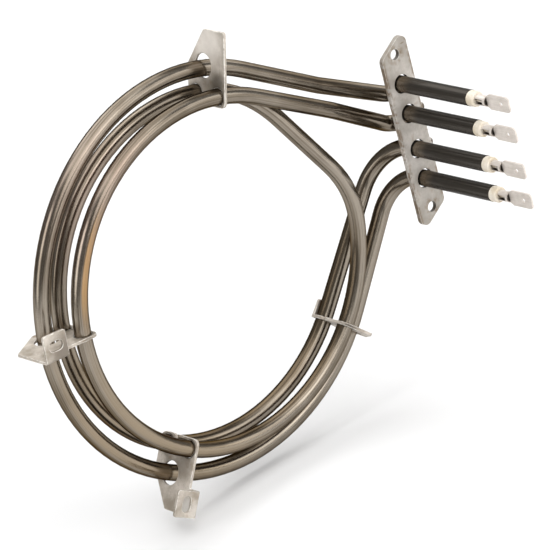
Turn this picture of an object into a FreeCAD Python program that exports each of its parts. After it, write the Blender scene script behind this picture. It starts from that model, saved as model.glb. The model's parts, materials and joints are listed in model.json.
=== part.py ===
# Tubular heating element: two metal-sheathed heaters wound into a ring of
# three turns, carried by four notched brackets and one terminal flange.
# Frame: origin at the middle of the flange's front face, +Z along the flange,
# the terminals point to -Y and the axis of the ring is parallel to Y.
import FreeCAD, Part
import Sketcher
import math
import os

Vector = FreeCAD.Vector
Rotation = FreeCAD.Rotation
Placement = FreeCAD.Placement

X_AXIS, Y_AXIS, Z_AXIS = Vector(1, 0, 0), Vector(0, 1, 0), Vector(0, 0, 1)

# Driving dimensions in millimetres and degrees
SIZES = {
    # metal sheath, insulating powder and resistance wire
    "tube_dia": 6.5,
    "sheath_wall": 0.5,
    "powder_gap": 0.02,
    "wire_gap": 0.05,
    "coil_dia": 2.6,
    "pin_dia": 2.2,
    # ring of three turns
    "ring_gap": 17.95,
    "ring_drop": 17.5,
    "outer_turn_rad": 79.4,
    "turn_step": 10.9,
    "outer_turn_y": 19.5,
    "back_turn_y": 23.5,
    "front_turn_y": 10.5,
    # start of the outer turn, which closes in a slightly tighter arc
    "top_arc_step": 4.33,
    "top_arc_end": 112.8,
    "outer_lead_slope": 33.0,
    "inner_lead_slope": 32.0,
    # crossover between the two inner turns
    "cross_start": -6.7,
    "cross_end": 70.7,
    "cross_first_run": 12.7,
    "cross_last_run": 19.3,
    # bends of the leads behind the flange
    "lead_bend_rad": 18.0,
    "joggle_bend_rad": 5.0,
    "exit_bend_rad": 5.0,
    "outer_joggle_side": 17.74,
    "outer_joggle_drop": 24.38,
    "outer_joggle_y": 16.87,
    "outer_exit_y": 5.33,
    "outer_knee_side": 25.31,
    "inner_knee_side": 28.44,
    "inner_joggle_side": 20.42,
    "inner_joggle_drop": 33.41,
    "inner_joggle_y": 23.83,
    "inner_exit_y": 4.83,
    "outer_return_rad": 17.2,
    "inner_return_rad": 20.5,
    # terminal flange
    "middle_hole_gap": 15.2,
    "side_hole_gap": 12.7,
    "tube_hole_gap": 0.6,
    "flange_wide": 13.8,
    "flange_thick": 2.0,
    "flange_slant": 8.4,
    "flange_corner_rad": 3.0,
    "bolt_pitch": 65.5,
    "bolt_hole_dia": 4.3,
    "bolt_margin": 4.2,
    "lug_rad": 2.0,
    "lug_reach": 1.2,
    # cold end, ceramic bead and tab terminal
    "cold_end": 40.0,
    "bead_long": 3.7,
    "bead_dia": 6.2,
    "bead_round": 0.6,
    "spigot_long": 2.5,
    "seat_gap": 0.05,
    "barrel_long": 5.4,
    "barrel_dia": 4.2,
    "barrel_seam": 2.2,
    "barrel_play": 0.3,
    "pin_setback": 1.2,
    "blade_long": 12.3,
    "blade_wide": 6.3,
    "blade_thick": 0.8,
    "blade_neck": 1.0,
    "blade_shoulder": 1.6,
    "blade_tip_cut": 0.9,
    "blade_hole_dia": 1.7,
    "blade_hole_inset": 4.5,
    # brackets that hold the turns
    "sheet_thick": 1.2,
    "clip_gap": 0.12,
    "front_finger_wide": 1.0,
    "back_finger_wide": 1.4,
    "finger_gap": 2.2,
    "hook_wide": 0.9,
    "front_hook_rad": 2.6,
    "back_hook_rad": 3.2,
    "hook_tip_rad": 1.8,
    "hook_tip_gap": 0.8,
    "front_hook_reach": 7.5,
    "eye_dia": 9.6,
    "eye_shift": 0.6,
    "arm_reach": 14.2,
    "arm_tip_shift": 1.0,
    "foot_wide": 10.5,
    "foot_long": 10.0,
    "foot_bend_rad": 1.6,
    "slot_long": 6.5,
    "slot_wide": 4.0,
    "clip_reach": 8.8,
    "clip_tab_wide": 7.0,
    "clip_tab_long": 6.5,
    "clip_tab_shift": 1.0,
    "sheet_corner_rad": 1.0,
    "top_bracket_angle": 73.7,
    "left_bracket_angle": 174.75,
    "bottom_bracket_angle": -121.2,
    "right_clip_angle": -43.0,
}

doc = FreeCAD.newDocument("HeatingElement")
sheet = doc.addObject("Spreadsheet::Sheet", "Sizes")


def fill_sheet():
    """Write each driving dimension and its alias into the sheet."""
    for row, (alias, value) in enumerate(SIZES.items(), start=1):
        sheet.set(f"A{row}", alias)
        sheet.set(f"B{row}", str(value))
        sheet.setAlias(f"B{row}", alias)
    doc.recompute()


class Size:
    """A length that knows its value and the sheet formula that gives it."""

    def __init__(self, value, formula):
        self.value = value
        self.formula = formula

    def joined(self, sign, other, value):
        return Size(value, f"({self.formula} {sign} {as_size(other).formula})")

    def __add__(self, other):
        return self.joined("+", other, self.value + as_size(other).value)

    def __sub__(self, other):
        return self.joined("-", other, self.value - as_size(other).value)

    def __mul__(self, other):
        return self.joined("*", other, self.value * as_size(other).value)

    def __truediv__(self, other):
        return self.joined("/", other, self.value / as_size(other).value)

    def __neg__(self):
        return Size(-self.value, f"(0 - {self.formula})")


def as_size(number):
    """Return a plain number as a Size; a Size stays as it is."""
    return number if isinstance(number, Size) else Size(number, str(number))


def size(alias):
    """Return the named cell of the sheet as a Size."""
    return Size(float(getattr(sheet, alias)), f"Sizes.{alias}")


def bind(thing, name, length):
    """Set one property of a document object from a sheet formula."""
    thing.setExpression(name, as_size(length).formula)


fill_sheet()
ZERO = as_size(0)

# Lengths that several pieces share
tube_rad = size("tube_dia") / 2
bore_rad = tube_rad - size("sheath_wall")
core_rad = size("coil_dia") / 2 + size("wire_gap")
ring_x = -(size("outer_turn_rad") + size("ring_gap"))
ring_z = -size("ring_drop")
inner_rad = size("outer_turn_rad") - size("turn_step")
inner_hole_z = size("middle_hole_gap") / 2
outer_hole_z = inner_hole_z + size("side_hole_gap")
hole_heights = [outer_hole_z, inner_hole_z, -inner_hole_z, -outer_hole_z]
mouth_y = -size("cold_end")
spigot_y = mouth_y + size("spigot_long")
powder_y = spigot_y + size("seat_gap")
bead_y = mouth_y - size("seat_gap") - size("bead_long")
barrel_y = bead_y - size("seat_gap")
barrel_end_y = barrel_y - size("barrel_long")
blade_tip_y = barrel_end_y - size("blade_long")
pin_end_y = barrel_end_y + size("pin_setback")
ring_centre = Vector(ring_x.value, 0, ring_z.value)


# Sketches and bodies
def new_body(name):
    """Return an empty body whose label names its file."""
    body = doc.addObject("PartDesign::Body", name)
    body.Label = name
    return body


def new_sketch(body, name, role, offset=ZERO):
    """Attach a sketch to one of the body's own origin planes."""
    plane = next(item for item in body.Origin.OriginFeatures if item.Role == role)
    sketch = body.newObject("Sketcher::SketchObject", name)
    sketch.AttachmentSupport = [(plane, "")]
    sketch.MapMode = "FlatFace"
    bind(sketch, "AttachmentOffset.Base.z", offset)
    return sketch


def pin_point(sketch, index, corner, across, along):
    """Hold one point of a sketch at two sheet formulas from its origin."""
    for kind, length in (("DistanceX", across), ("DistanceY", along)):
        number = sketch.addConstraint(
            Sketcher.Constraint(kind, -1, 1, index, corner, length.value))
        bind(sketch, f"Constraints[{number}]", length)


def add_polygon(sketch, corners):
    """Draw a closed outline through corners given as pairs of Sizes."""
    pairs = [(as_size(across), as_size(along)) for across, along in corners]
    points = [Vector(across.value, along.value, 0) for across, along in pairs]
    first = sketch.GeometryCount
    count = len(points)
    for number, start in enumerate(points):
        sketch.addGeometry(Part.LineSegment(start, points[(number + 1) % count]))
    for number in range(count):
        following = first + (number + 1) % count
        sketch.addConstraint(
            Sketcher.Constraint("Coincident", first + number, 2, following, 1))
    for number, (across, along) in enumerate(pairs):
        pin_point(sketch, first + number, 1, across, along)


def add_circle(sketch, across, along, radius):
    """Draw a circle whose centre and radius follow the sheet."""
    across, along = as_size(across), as_size(along)
    centre = Vector(across.value, along.value, 0)
    index = sketch.addGeometry(Part.Circle(centre, Z_AXIS, radius.value))
    pin_point(sketch, index, 3, across, along)
    number = sketch.addConstraint(
        Sketcher.Constraint("Radius", index, radius.value))
    bind(sketch, f"Constraints[{number}]", radius)


def pad(body, sketch, length, both_ways=True):
    """Thicken a sketch, about its plane or to the side of its normal."""
    feature = body.newObject("PartDesign::Pad", sketch.Name + "_pad")
    feature.Profile = sketch
    bind(feature, "Length", length)
    if both_ways:
        feature.SideType = "Symmetric"
    doc.recompute()
    return feature


def cut_through(body, sketch, length):
    """Pocket a sketch to both sides of its plane."""
    before = body.Shape.Volume
    feature = body.newObject("PartDesign::Pocket", sketch.Name + "_cut")
    feature.Profile = sketch
    bind(feature, "Length", length)
    feature.SideType = "Symmetric"
    doc.recompute()
    assert body.Shape.Volume < before, f"{sketch.Name} cuts nothing"
    return feature


def edges_along(shape, direction, spots):
    """Name the straight edges along a direction that pass nearest the spots."""
    names = []
    for spot in spots:
        ranked = []
        for number, edge in enumerate(shape.Edges, start=1):
            if edge.Curve.TypeId != "Part::GeomLine":
                continue
            run = edge.Vertexes[-1].Point - edge.Vertexes[0].Point
            if run.cross(direction).Length > 1e-6:
                continue
            gap = (edge.Vertexes[0].Point - spot).cross(direction).Length
            ranked.append((gap, f"Edge{number}"))
        names.append(min(ranked)[1])
    return names


def round_edges(body, direction, spots, radius):
    """Fillet the edges along a direction that pass through the spots."""
    base = body.Tip
    names = edges_along(base.Shape, direction, spots)
    fillet = body.newObject("PartDesign::Fillet", f"{body.Name}_round{len(body.Group)}")
    fillet.Base = (base, names)
    bind(fillet, "Radius", radius)
    doc.recompute()


# Routes of the two heaters
def ring_point(radius, angle, depth):
    """Return a point of a turn, by its angle from +X towards +Z."""
    turn = math.radians(angle)
    side = Vector(radius * math.cos(turn), depth, radius * math.sin(turn))
    return ring_centre + side


def ring_tangent(angle):
    """Return the direction of travel round the ring at an angle."""
    turn = math.radians(angle)
    return Vector(-math.sin(turn), 0, math.cos(turn))


def slope_direction(angle):
    """Return the direction from the flange up a sloping lead."""
    turn = math.radians(angle)
    return Vector(-math.cos(turn), 0, math.sin(turn))


def knee_point(join, slope, side):
    """Return the corner of a sloping lead at a distance beside the flange."""
    return join - slope * ((join.x + side) / slope.x)


def leaving_angle(radius, target):
    """Return the angle where a turn's tangent leaves for a target point."""
    offset = target - ring_centre
    reach = math.hypot(offset.x, offset.z)
    heading = math.degrees(math.atan2(offset.z, offset.x))
    return heading - math.degrees(math.acos(radius / reach))


def bend_radius(before, corner, after, run):
    """Return the radius of a bend that starts one run before its corner."""
    half = (corner - before).getAngle(after - corner) / 2
    return run / math.tan(half)


def arc_edge(centre, start, middle, end):
    """Return the arc about a centre through a middle direction."""
    radius = (start - centre).Length
    through = centre + middle.normalize() * radius
    return Part.Arc(start, through, end).toShape()


def bent_edges(start, corners, end):
    """Return straight edges from start to end, rounded at each corner."""
    places = [start] + [place for place, radius in corners] + [end]
    edges, here = [], start
    for number, (corner, radius) in enumerate(corners, start=1):
        incoming = (corner - places[number - 1]).normalize()
        outgoing = (places[number + 1] - corner).normalize()
        turn = incoming.getAngle(outgoing)
        run = radius * math.tan(turn / 2)
        first, last = corner - incoming * run, corner + outgoing * run
        bulge = radius / math.cos(turn / 2) - radius
        middle = corner + (outgoing - incoming).normalize() * bulge
        if (first - here).Length > 1e-4:
            edges.append(Part.LineSegment(here, first).toShape())
        edges.append(Part.Arc(first, middle, last).toShape())
        here = last
    if (end - here).Length > 1e-4:
        edges.append(Part.LineSegment(here, end).toShape())
    return edges


def turn_edge(radius, depth, first_angle, last_angle):
    """Return the arc of one turn between two angles."""
    start = ring_point(radius, first_angle, depth)
    middle = ring_point(radius, (first_angle + last_angle) / 2, depth)
    end = ring_point(radius, last_angle, depth)
    return Part.Arc(start, middle, end).toShape()


def value(alias):
    """Return the named cell of the sheet as a plain number."""
    return size(alias).value


def single_turn_route(end_y):
    """Return the centre line of the heater with one outer turn."""
    radius, depth = value("outer_turn_rad"), value("outer_turn_y")
    top_z, bottom_z = outer_hole_z.value, -outer_hole_z.value
    start = Vector(0, end_y, top_z)
    exit_corner = Vector(0, value("outer_exit_y"), top_z)
    # the first stretch of the turn is an arc tangent to the main one
    shift = value("top_arc_step")
    arc_rad = radius - shift
    arc_centre = ring_point(shift, value("top_arc_end"), depth)
    slope = slope_direction(value("outer_lead_slope"))
    normal = Vector(slope.z, 0, -slope.x)
    arc_start = arc_centre + normal * arc_rad
    arc_end = ring_point(radius, value("top_arc_end"), depth)
    knee = knee_point(arc_start, slope, value("outer_knee_side"))
    joggle = Vector(value("outer_joggle_side"), value("outer_joggle_y"),
                    knee.z - value("outer_joggle_drop"))
    edges = bent_edges(start, [(exit_corner, value("exit_bend_rad")),
                               (joggle, value("joggle_bend_rad")),
                               (knee, value("lead_bend_rad"))], arc_start)
    halfway = (arc_start - arc_centre) + (arc_end - arc_centre)
    edges.append(arc_edge(arc_centre, arc_start, halfway, arc_end))
    corner = Vector(0, depth, bottom_z)
    last_angle = leaving_angle(radius, corner) + 360
    edges.append(turn_edge(radius, depth, value("top_arc_end"), last_angle))
    leave = ring_point(radius, last_angle, depth)
    edges += bent_edges(leave, [(corner, value("outer_return_rad"))],
                        Vector(0, end_y, bottom_z))
    return edges


def double_turn_route(end_y):
    """Return the centre line of the heater with two inner turns."""
    radius = inner_rad.value
    front, back = value("front_turn_y"), value("back_turn_y")
    top_z, bottom_z = inner_hole_z.value, -inner_hole_z.value
    start = Vector(0, end_y, top_z)
    exit_corner = Vector(0, value("inner_exit_y"), top_z)
    first_angle = 90 - value("inner_lead_slope")
    slope = slope_direction(value("inner_lead_slope"))
    join = ring_point(radius, first_angle, front)
    knee = knee_point(join, slope, value("inner_knee_side"))
    joggle = Vector(value("inner_joggle_side"), value("inner_joggle_y"),
                    knee.z - value("inner_joggle_drop"))
    edges = bent_edges(start, [(exit_corner, value("exit_bend_rad")),
                               (joggle, value("joggle_bend_rad")),
                               (knee, value("lead_bend_rad"))], join)
    # front turn, crossover to the back turn, back turn
    cross_in, cross_out = value("cross_start") + 360, value("cross_end")
    edges.append(turn_edge(radius, front, first_angle, cross_in))
    leave = ring_point(radius, cross_in, front)
    enter = ring_point(radius, cross_out, back)
    first = leave + ring_tangent(cross_in) * value("cross_first_run")
    last = enter - ring_tangent(cross_out) * value("cross_last_run")
    first_rad = bend_radius(leave, first, last, value("cross_first_run"))
    last_rad = bend_radius(first, last, enter, value("cross_last_run"))
    edges += bent_edges(leave, [(first, first_rad), (last, last_rad)], enter)
    corner = Vector(0, back, bottom_z)
    last_angle = leaving_angle(radius, corner) + 360
    edges.append(turn_edge(radius, back, cross_out, last_angle))
    leave = ring_point(radius, last_angle, back)
    edges += bent_edges(leave, [(corner, value("inner_return_rad"))],
                        Vector(0, end_y, bottom_z))
    return edges


def route_object(name, edges):
    """Keep a centre line in the document and return it with its edge names."""
    path = doc.addObject("Part::Feature", name)
    path.Shape = Part.Wire(edges)
    return path, [f"Edge{number}" for number in range(1, len(edges) + 1)]


def check_volume(shape, area, path):
    """Compare a swept solid with its section times its length."""
    expected = area * path.Shape.Length
    assert abs(shape.Volume - expected) < expected * 1e-3, path.Name


def hollow_pipe(name, edges, start_y, start_z, outer, inner):
    """Sweep a ring-shaped section along a centre line."""
    path, names = route_object(name + "_route", edges)
    body = new_body(name)
    # the normal of this plane is -Y, so its own upward axis is Z
    sketch = new_sketch(body, name + "_section", "XZ_Plane", -start_y)
    add_circle(sketch, ZERO, start_z, outer)
    add_circle(sketch, ZERO, start_z, inner)
    pipe = body.newObject("PartDesign::AdditivePipe", name + "_pipe")
    pipe.Profile = sketch
    pipe.Spine = (path, names)
    doc.recompute()
    area = math.pi * (outer.value ** 2 - inner.value ** 2)
    check_volume(body.Shape, area, path)
    return body


def solid_pipe(name, edges, start_y, start_z, radius):
    """Sweep a disc along a centre line."""
    path, names = route_object(name + "_route", edges)
    section = doc.addObject("Part::Circle", name + "_section")
    section.Placement = Placement(Vector(), Rotation(X_AXIS, -90))
    bind(section, "Radius", radius)
    bind(section, "Placement.Base.y", start_y)
    bind(section, "Placement.Base.z", start_z)
    pipe = doc.addObject("Part::Sweep", name)
    pipe.Label = name
    pipe.Sections = [section]
    pipe.Spine = (path, names)
    pipe.Solid = True
    doc.recompute()
    check_volume(pipe.Shape, math.pi * radius.value ** 2, path)
    return pipe


def build_heater(name, route, start_z):
    """Return the sheath, the powder filling and the coil of one heater."""
    coil_y = -size("flange_thick")
    powder_rad = bore_rad - size("powder_gap")
    sheath = hollow_pipe(f"{name}_sheath", route(mouth_y.value),
                         mouth_y, start_z, tube_rad, bore_rad)
    powder = hollow_pipe(f"{name}_filling", route(powder_y.value),
                         powder_y, start_z, powder_rad, core_rad)
    coil = solid_pipe(f"{name}_coil", route(coil_y.value),
                      coil_y, start_z, size("coil_dia") / 2)
    return [sheath, powder, coil]


# Flange
def build_flange():
    """Return the plate that all four ends pass through."""
    body = new_body("mounting_flange")
    half_wide, rise = size("flange_wide") / 2, size("flange_slant") / 2
    top = size("bolt_pitch") / 2 + size("bolt_margin")
    thick = size("flange_thick")
    corners = [(-half_wide, top - rise), (half_wide, top + rise),
               (half_wide, rise - top), (-half_wide, -rise - top)]
    plate = new_sketch(body, "flange_outline", "XZ_Plane", -thick)
    add_polygon(plate, corners)
    pad(body, plate, thick, both_ways=False)
    spots = [Vector(across.value, 0, along.value) for across, along in corners]
    round_edges(body, Y_AXIS, spots, size("flange_corner_rad"))
    lugs = new_sketch(body, "flange_lugs", "XZ_Plane", -thick)
    lug_x = half_wide + size("lug_reach") - size("lug_rad")
    for height in (inner_hole_z, -inner_hole_z):
        add_circle(lugs, lug_x, height, size("lug_rad"))
    pad(body, lugs, thick, both_ways=False)
    holes = new_sketch(body, "flange_holes", "XZ_Plane")
    for height in hole_heights:
        add_circle(holes, ZERO, height, tube_rad + size("tube_hole_gap"))
    for side in (1, -1):
        height = size("bolt_pitch") * (side / 2)
        add_circle(holes, ZERO, height, size("bolt_hole_dia") / 2)
    cut_through(body, holes, thick * 3)
    return body


# Terminals
def build_pin(number, height):
    """Return the steel pin from the coil out to the tab terminal."""
    pin = doc.addObject("Part::Cylinder", f"terminal_pin_{number}")
    pin.Label = pin.Name
    pin.Placement = Placement(Vector(), Rotation(X_AXIS, -90))
    bind(pin, "Radius", size("pin_dia") / 2)
    bind(pin, "Height", -pin_end_y - size("flange_thick") - size("seat_gap"))
    bind(pin, "Placement.Base.y", pin_end_y)
    bind(pin, "Placement.Base.z", height)
    return pin


def build_bead(number, height):
    """Return the ceramic bead that closes one end of a sheath."""
    body = new_body(f"ceramic_bead_{number}")
    hole = size("pin_dia") / 2 + size("wire_gap")
    spigot = bore_rad - size("seat_gap")
    rim = size("bead_dia") / 2
    shoulder_y = mouth_y - size("seat_gap")
    profile = new_sketch(body, f"bead_profile_{number}", "XY_Plane")
    add_polygon(profile, [(hole, bead_y), (rim, bead_y), (rim, shoulder_y),
                          (spigot, shoulder_y), (spigot, spigot_y), (hole, spigot_y)])
    turned = body.newObject("PartDesign::Revolution", f"bead_turned_{number}")
    turned.Profile = profile
    turned.ReferenceAxis = (profile, ["V_Axis"])
    turned.Angle = 360
    doc.recompute()
    names = [f"Edge{index}" for index, edge in enumerate(turned.Shape.Edges, start=1)
             if edge.Curve.TypeId == "Part::GeomCircle"
             and abs(edge.Curve.Radius - rim.value) < 1e-6
             and abs(edge.Curve.Center.y - bead_y.value) < 1e-6]
    fillet = body.newObject("PartDesign::Fillet", f"bead_round_{number}")
    fillet.Base = (turned, names)
    bind(fillet, "Radius", size("bead_round"))
    bind(body, "Placement.Base.z", height)
    return body


def build_terminal(number, height):
    """Return the open-seam barrel with its flat blade."""
    body = new_body(f"tab_terminal_{number}")
    barrel_rad = size("barrel_dia") / 2
    hole_rad = size("pin_dia") / 2 + size("barrel_play")
    ring = new_sketch(body, f"barrel_section_{number}", "XZ_Plane", -barrel_y)
    add_circle(ring, ZERO, ZERO, barrel_rad)
    add_circle(ring, ZERO, ZERO, hole_rad)
    pad(body, ring, size("barrel_long"), both_ways=False)
    seam = new_sketch(body, f"barrel_seam_{number}", "YZ_Plane", -barrel_rad)
    half_seam = size("barrel_seam") / 2
    root_y = barrel_end_y + size("blade_neck")
    add_polygon(seam, [(barrel_y, -half_seam), (barrel_y, half_seam),
                       (root_y, half_seam), (root_y, -half_seam)])
    cut_through(body, seam, barrel_rad * 2)
    half_wide = size("blade_wide") / 2
    shoulder_y = barrel_end_y - size("blade_shoulder")
    cut = size("blade_tip_cut")
    side = [(root_y, barrel_rad), (barrel_end_y, barrel_rad), (shoulder_y, half_wide),
            (blade_tip_y + cut, half_wide), (blade_tip_y, half_wide - cut)]
    mirrored = [(along, -across) for along, across in reversed(side)]
    blade = new_sketch(body, f"blade_outline_{number}", "YZ_Plane")
    add_polygon(blade, side + mirrored)
    pad(body, blade, size("blade_thick"))
    hole = new_sketch(body, f"blade_hole_{number}", "YZ_Plane")
    add_circle(hole, blade_tip_y + size("blade_hole_inset"), ZERO,
               size("blade_hole_dia") / 2)
    cut_through(body, hole, size("blade_thick") * 2)
    bind(body, "Placement.Base.z", height)
    return body


# Brackets, drawn with the distance from the ring's axis across and Y upwards
notch_rad = tube_rad + size("clip_gap")
hook_r = inner_rad - notch_rad
finger_r = hook_r + size("finger_gap")
hook_outer_r = hook_r - size("hook_wide")
front_y = size("front_turn_y") - notch_rad - size("front_finger_wide")
back_y = size("back_turn_y") + notch_rad + size("back_finger_wide")
shoulder_r = size("outer_turn_rad")
arm_r = shoulder_r + size("arm_reach")
arm_tip_y = size("outer_turn_y") - size("arm_tip_shift")
# the feet rest on the same wall as the flange
wall_y = ZERO


def place_bracket(body, angle):
    """Stand a bracket in the plane through the ring's axis at an angle."""
    body.Placement = Placement(ring_centre, Rotation(Y_AXIS, -angle.value))
    bind(body, "Placement.Rotation.Angle", -angle)
    bind(body, "Placement.Base.x", ring_x)
    bind(body, "Placement.Base.z", ring_z)


def flat_spots(corners):
    """Return the corners of an outline as points of its plane."""
    return [Vector(across.value, along.value, 0) for across, along in corners]


def bracket_plate(name, round_corners, sharp_corners=()):
    """Return the flat blank of a bracket, before its notches are cut."""
    body = new_body(name)
    outline = new_sketch(body, name + "_outline", "XY_Plane")
    inner = [(hook_outer_r, front_y), (hook_outer_r, back_y)]
    add_polygon(outline, inner + round_corners + list(sharp_corners))
    pad(body, outline, size("sheet_thick"))
    round_edges(body, Z_AXIS, flat_spots(inner[:1]), size("front_hook_rad"))
    round_edges(body, Z_AXIS, flat_spots(inner[1:]), size("back_hook_rad"))
    round_edges(body, Z_AXIS, flat_spots(round_corners), size("sheet_corner_rad"))
    return body


def cut_comb(body, name):
    """Cut the two notches, their hooks and the eye for the outer turn."""
    depth = size("sheet_thick") * 4
    front, back = size("front_turn_y"), size("back_turn_y")
    rounds = new_sketch(body, name + "_eyes", "XY_Plane")
    add_circle(rounds, inner_rad, front, notch_rad)
    add_circle(rounds, inner_rad, back, notch_rad)
    eye_y = size("outer_turn_y") - size("eye_shift")
    add_circle(rounds, size("outer_turn_rad"), eye_y, size("eye_dia") / 2)
    cut_through(body, rounds, depth)
    comb = new_sketch(body, name + "_comb", "XY_Plane")
    front_tip = front + size("front_hook_reach")
    open_r, tip_r = hook_outer_r - size("hook_wide"), finger_r - size("hook_tip_gap")
    back_tip = back - notch_rad - size("hook_wide")
    add_polygon(comb, [
        (hook_r, front), (finger_r, front), (finger_r, back), (tip_r, back),
        (tip_r, back_tip), (open_r, back_tip), (open_r, front_tip), (hook_r, front_tip)])
    cut_through(body, comb, depth)
    round_edges(body, Z_AXIS, flat_spots([(hook_outer_r, back_tip)]), size("hook_tip_rad"))


def build_top_bracket():
    """Return the plain bracket at the top of the ring."""
    name = "top_bracket"
    body = bracket_plate(name, [(shoulder_r, back_y), (arm_r, arm_tip_y), (arm_r, front_y)])
    cut_comb(body, name)
    place_bracket(body, size("top_bracket_angle"))
    return body


def add_foot(body, name, step_r, foot_y):
    """Fold the end of an arm over and cut its slot."""
    thick, length = size("sheet_thick"), size("foot_long")
    foot = new_sketch(body, name + "_foot", "XY_Plane", -length / 2)
    add_polygon(foot, [(step_r, foot_y), (arm_r, foot_y), (arm_r, wall_y), (step_r, wall_y)])
    pad(body, foot, length + thick)
    inside, outside = Y_AXIS * foot_y.value, Y_AXIS * wall_y.value
    skin, end = Z_AXIS * (thick.value / 2), Z_AXIS * (-length - thick / 2).value
    round_edges(body, X_AXIS, [inside - skin], size("foot_bend_rad") - thick)
    round_edges(body, X_AXIS, [outside + skin], size("foot_bend_rad"))
    corners = [X_AXIS * step_r.value + end, X_AXIS * arm_r.value + end]
    round_edges(body, Y_AXIS, corners, size("sheet_corner_rad"))
    slot_r, slot_z = (step_r + arm_r) / 2, -(length + thick) / 2
    half = size("slot_wide") / 2
    middle = size("slot_long") / 2 - half
    slot = new_sketch(body, name + "_slot", "XZ_Plane", -foot_y)
    add_polygon(slot, [(slot_r - middle, slot_z - half), (slot_r + middle, slot_z - half),
                       (slot_r + middle, slot_z + half), (slot_r - middle, slot_z + half)])
    cut_through(body, slot, thick * 3)
    ends = new_sketch(body, name + "_slot_ends", "XZ_Plane", -foot_y)
    add_circle(ends, slot_r - middle, slot_z, half)
    add_circle(ends, slot_r + middle, slot_z, half)
    cut_through(body, ends, thick * 3)


def build_foot_bracket(name, angle):
    """Return a bracket whose arm ends in a slotted foot."""
    step_r = arm_r - size("foot_wide")
    foot_y = wall_y + size("sheet_thick")
    body = bracket_plate(name, [(shoulder_r, back_y), (arm_r, arm_tip_y)],
                         [(arm_r, foot_y), (step_r, foot_y), (step_r, front_y)])
    add_foot(body, name, step_r, foot_y)
    cut_comb(body, name)
    place_bracket(body, angle)
    return body


def add_tab(body, name):
    """Fold a tab over from the back edge of a plate, behind the inner turn."""
    thick, length = size("sheet_thick"), size("clip_tab_long")
    first_r = inner_rad - size("clip_tab_wide") / 2 + size("clip_tab_shift")
    last_r = first_r + size("clip_tab_wide")
    tab = new_sketch(body, name + "_tab", "XY_Plane", length / 2)
    add_polygon(tab, [(first_r, back_y - thick), (last_r, back_y - thick),
                      (last_r, back_y), (first_r, back_y)])
    pad(body, tab, length + thick)
    end = Z_AXIS * (length + thick / 2).value
    corners = [X_AXIS * first_r.value + end, X_AXIS * last_r.value + end]
    round_edges(body, Y_AXIS, corners, size("sheet_corner_rad"))


def build_right_clip():
    """Return the short clip beside the leads, with a pointed end."""
    name = "right_clip"
    tip_r = shoulder_r + size("clip_reach")
    body = bracket_plate(name, [(shoulder_r, back_y), (tip_r, arm_tip_y), (shoulder_r, front_y)])
    add_tab(body, name)
    cut_comb(body, name)
    place_bracket(body, size("right_clip_angle"))
    return body


def build_all():
    """Return every separate piece of the heating element."""
    pieces = build_heater("single_turn", single_turn_route, outer_hole_z)
    pieces += build_heater("double_turn", double_turn_route, inner_hole_z)
    pieces.append(build_flange())
    for number, height in enumerate(hole_heights, start=1):
        pieces.append(build_pin(number, height))
        pieces.append(build_bead(number, height))
        pieces.append(build_terminal(number, height))
    pieces.append(build_top_bracket())
    pieces.append(build_foot_bracket("left_bracket", size("left_bracket_angle")))
    pieces.append(build_foot_bracket("bottom_bracket", size("bottom_bracket_angle")))
    pieces.append(build_right_clip())
    return pieces


def check_and_write(pieces):
    """Refuse a failed object, then write one file for each piece."""
    doc.recompute()
    for item in doc.Objects:
        assert not {"Invalid", "Error"} & set(item.State), f"{item.Label}: {item.State}"
    for piece in pieces:
        shape = piece.Shape
        assert not shape.isNull() and shape.isValid(), piece.Label
        assert len(shape.Solids) == 1, f"{piece.Label}: {len(shape.Solids)} solids"
    os.makedirs("parts", exist_ok=True)
    for piece in pieces:
        piece.Shape.exportStep(f"parts/{piece.Label}.step")
        print(f"{piece.Label}: {piece.Shape.Volume:.1f} cubic millimetres")


check_and_write(build_all())
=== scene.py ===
"""Looks of a ring-shaped tubular heating element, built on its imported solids."""

from __future__ import annotations

import json
import logging
import math
from dataclasses import dataclass, field
from enum import Enum
from typing import Any, Iterator, Sequence, Union

import bmesh
import bpy
from mathutils import Matrix, Vector

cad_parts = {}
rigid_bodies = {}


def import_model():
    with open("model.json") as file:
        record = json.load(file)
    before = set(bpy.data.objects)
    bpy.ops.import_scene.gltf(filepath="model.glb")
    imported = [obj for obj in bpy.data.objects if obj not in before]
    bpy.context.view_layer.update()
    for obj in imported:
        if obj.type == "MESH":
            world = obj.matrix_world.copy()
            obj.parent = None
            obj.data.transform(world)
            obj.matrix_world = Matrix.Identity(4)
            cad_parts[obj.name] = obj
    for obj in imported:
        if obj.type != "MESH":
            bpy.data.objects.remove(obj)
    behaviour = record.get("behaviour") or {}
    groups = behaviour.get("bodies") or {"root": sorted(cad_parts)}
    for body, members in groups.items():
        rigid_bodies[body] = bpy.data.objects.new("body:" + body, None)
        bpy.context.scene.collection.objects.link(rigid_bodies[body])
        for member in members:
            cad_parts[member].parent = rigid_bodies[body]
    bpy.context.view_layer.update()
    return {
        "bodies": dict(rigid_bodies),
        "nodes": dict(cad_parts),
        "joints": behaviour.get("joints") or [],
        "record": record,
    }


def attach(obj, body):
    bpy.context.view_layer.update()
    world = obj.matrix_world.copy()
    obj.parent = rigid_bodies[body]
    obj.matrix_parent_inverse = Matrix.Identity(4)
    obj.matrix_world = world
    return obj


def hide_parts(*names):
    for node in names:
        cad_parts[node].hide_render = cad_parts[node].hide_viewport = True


LOG = logging.getLogger("heating_element")
MM = 0.001
ROOT = "root"
MADE: dict[str, bpy.types.Material] = {}

Number = Union[int, float]
Scale = tuple[float, float, float]
Colour = tuple[float, float, float, float]


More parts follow.
